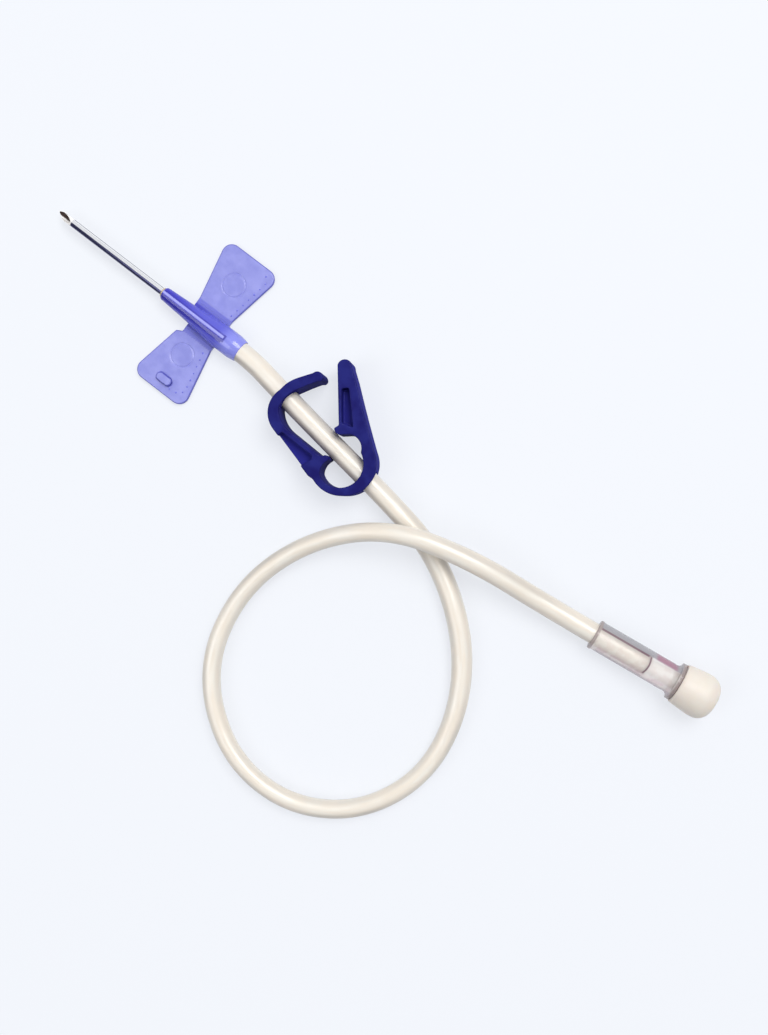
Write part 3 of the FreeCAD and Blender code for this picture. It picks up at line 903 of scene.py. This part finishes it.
# Luer connector: a clear hard moulding. The tubing is glued into its long socket, and past the
# flange its nose holds the luer taper that the cap closes.
MOUTH = (-129.1, 2.0)
WAY = (-0.9914, -0.1311)
MOUTH_RIM = (0.4 * MM, 0.7 * MM)
FLANGE_RING = ((19.6 * MM, 20.1 * MM), (20.8 * MM, 21.1 * MM))
UPPER_WALL = (1.9 * MM, 2.2 * MM)
LOWER_WALL = (1.2 * MM, 2.6 * MM)
LOWER_EDGE = (2.7 * MM, 3.0 * MM)
LOWER_EDGE_FROM = (1.0 * MM, 2.0 * MM)
TUBING_EDGE_LINE = ((1.65 * MM, 1.8 * MM), (2.1 * MM, 2.25 * MM))
TUBING_EDGE_ENDS = (12.0 * MM, 13.0 * MM)
TUBE_END = ((12.8 * MM, 13.0 * MM), (13.2 * MM, 13.4 * MM))
TUBE_END_FROM = (-2.2 * MM, -1.8 * MM)
TUBE_END_BOW = 90.0
WINE_SIDE = (1.8 * MM, 2.4 * MM)
WINE_STRETCH = ((13.5 * MM, 14.5 * MM), (18.5 * MM, 19.5 * MM))
MIST = ((0.93, 0.84, 0.79), (0.97, 0.93, 0.87))
PINK = ((0.80, 0.62, 0.64), (0.93, 0.84, 0.80))
WALL_SHADE = (0.36, 0.35, 0.37)
EDGE_SHADE = (0.42, 0.38, 0.43)
LINE_BROWN = (0.22, 0.14, 0.17)
WINE = (0.36, 0.17, 0.24)
RING_BROWN = (0.36, 0.30, 0.29)
connector = copied("luer_connector", "connector", 28)

# It is partly see-through. What a clear wall bends into lines is painted on it as colour: the glued
# tubing's edge and end seen through it, painted shade on the walls and along the lower edge, a touch of
# pink and wine, and the rims. Each is set by how far a place is past the mouth that the tubing enters,
# and how far beside the connector's axis.
clear = Finish("clear_plastic", Roughness=0.12, IOR=1.46)
x, y, z = clear.place()
past = (x - MOUTH[0] * MM) * WAY[0] + (y - MOUTH[1] * MM) * WAY[1]
offset = (y - MOUTH[1] * MM) * WAY[0] - (x - MOUTH[0] * MM) * WAY[1]
below = offset * -1.0
haze = clear.noise(600.0, 4.0)
lower = below.between(*LOWER_WALL)
tone = lower.mix(haze.between(0.4, 0.6).mix(*MIST), haze.between(0.45, 0.62).mix(*PINK))
upper = offset.between(*UPPER_WALL)
tone = upper.mix(tone, WALL_SHADE)
under = below.between(*LOWER_EDGE) * past.between(*LOWER_EDGE_FROM)
tone = (under * 0.7).mix(tone, EDGE_SHADE)
tubing_edge_line = offset.band(*TUBING_EDGE_LINE) * (1.0 - past.between(*TUBING_EDGE_ENDS))
bowed = past + offset * offset * TUBE_END_BOW
tube_end = bowed.band(*TUBE_END) * (1.0 - upper) * offset.between(*TUBE_END_FROM)
dark_lines = tubing_edge_line.maths("MAXIMUM", tube_end)
tone = dark_lines.mix(tone, LINE_BROWN)
wine = past.band(*WINE_STRETCH) * offset.between(*WINE_SIDE)
tone = wine.mix(tone, WINE)
rims = past.band(*FLANGE_RING).maths("MAXIMUM", 1.0 - past.between(*MOUTH_RIM))
tone = rims.mix(tone, RING_BROWN)
drawn_in = lower * 0.5
for part in (upper, rims, dark_lines, wine, under):
    drawn_in = drawn_in.maths("MAXIMUM", part)
dress(connector, clear.feed(Base_Color=tone, Alpha=drawn_in * 0.38 + 0.34), "connector_clear")
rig.ride(connector, "root")
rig.replaces(connector, "luer_connector")

# Cap: a cream moulding with a closed round end and a plug on its centre. It is screwed over the
# connector's nose and keeps it closed until use.
CAP_CREAM = (0.76, 0.645, 0.545)
CAP_PALE = (0.80, 0.69, 0.59)
cap = copied("luer_cap", "cap", 35)
cap_cream = Finish("cap_plastic", Roughness=0.4, Subsurface_Weight=0.15, Specular_IOR_Level=0.3)
cap_tone = cap_cream.noise(400.0).mix(CAP_CREAM, CAP_PALE)
dress(cap, cap_cream.feed(Base_Color=cap_tone), "cap_white")
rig.ride(cap, "luer_cap")
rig.replaces(cap, "luer_cap")

# The tubing lies as one cord from the hub's rear end to the connector. The clamp is threaded on it,
# and the connector and its cap end it.
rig.cord(
    tubing,
    exit=(-0.0271, 0.0, 0.00295),
    length=0.316,
    diameter=TUBE_OUTER,
    far_end="connector",
    stiffness="medium",
    lay="loose",
    path=path,
    with_pieces=[clamp_frame, clamp_arm, connector, cap],
)

# Floor and light: a pale table under a large soft lamp and a pale sky that is darker to one side.
# The floor shows its own colour to the lens, and keeps part of the shadows.
MIDDLE = (-0.06, 0.02)
TABLE_REACH = 1.5
TABLE_DROP = 0.05 * MM
TABLE_GREY = (0.80, 0.82, 0.85)
TABLE_GLOW = (0.92, 0.945, 1.0)
GLOW_SHARE = 0.72
SKY_BRIGHT = (0.95, 0.965, 1.0)
SKY_DARK = (0.30, 0.31, 0.35)
bm = bmesh.new()
bmesh.ops.create_grid(bm, x_segments=1, y_segments=1, size=TABLE_REACH)
floor = mesh_piece("floor", bm)
floor.location = (*MIDDLE, -TABLE_DROP)
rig.stage(floor)
paper = Finish("pale_table", Roughness=0.9)
table = paper.node("ShaderNodeBsdfDiffuse", (), {"Color": rgba(TABLE_GREY)})
shown = paper.node("ShaderNodeEmission", (), {"Color": rgba(TABLE_GLOW), "Strength": 0.955})
ray = [paper.node("ShaderNodeLightPath", (), (), output) for output in (0, 3, 6)]
seen = ray[0].maths("MAXIMUM", ray[1]).maths("MAXIMUM", ray[2])
cover = paper.node("ShaderNodeMixShader", (), {0: seen * GLOW_SHARE, 1: table, 2: shown})
paper.tree.links.new(cover.socket, paper.tree.nodes["Material Output"].inputs["Surface"])
floor.data.materials.append(paper.material)

world = bpy.data.worlds.new("sky")
world.use_nodes = True
scene.world = world
sky = world.node_tree
way = Shade.node(sky, "ShaderNodeTexCoord")
far_side = Shade.node(sky, "ShaderNodeSeparateXYZ", (), {0: way}, 1)
sky_tone = far_side.between(0.12, 0.5).mix(SKY_BRIGHT, SKY_DARK)
sky.links.new(sky_tone.socket, sky.nodes["Background"].inputs["Color"])
sky.nodes["Background"].inputs["Strength"].default_value = 0.62


def lamp(name, place, size, power):
    """A soft square lamp that faces the middle of the object."""
    light = bpy.data.lights.new(name, "AREA")
    light.size = size
    light.energy = power
    fitting = bpy.data.objects.new(name, light)
    fitting.location = place
    facing = Vector((*MIDDLE, 0)) - Vector(place)
    fitting.rotation_euler = facing.to_track_quat("-Z", "Y").to_euler()
    scene.collection.objects.link(fitting)


lamp("overhead", (-0.12, -0.40, 0.80), 0.5, 5.9)
lamp("far_side", (0.25, 0.45, 0.70), 0.5, 2.2)

now = [list(corner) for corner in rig.bounds()]
json.dump(
    {"cad": [list(corner) for corner in cad_box], "model": now},
    open("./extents.json", "w"),
)
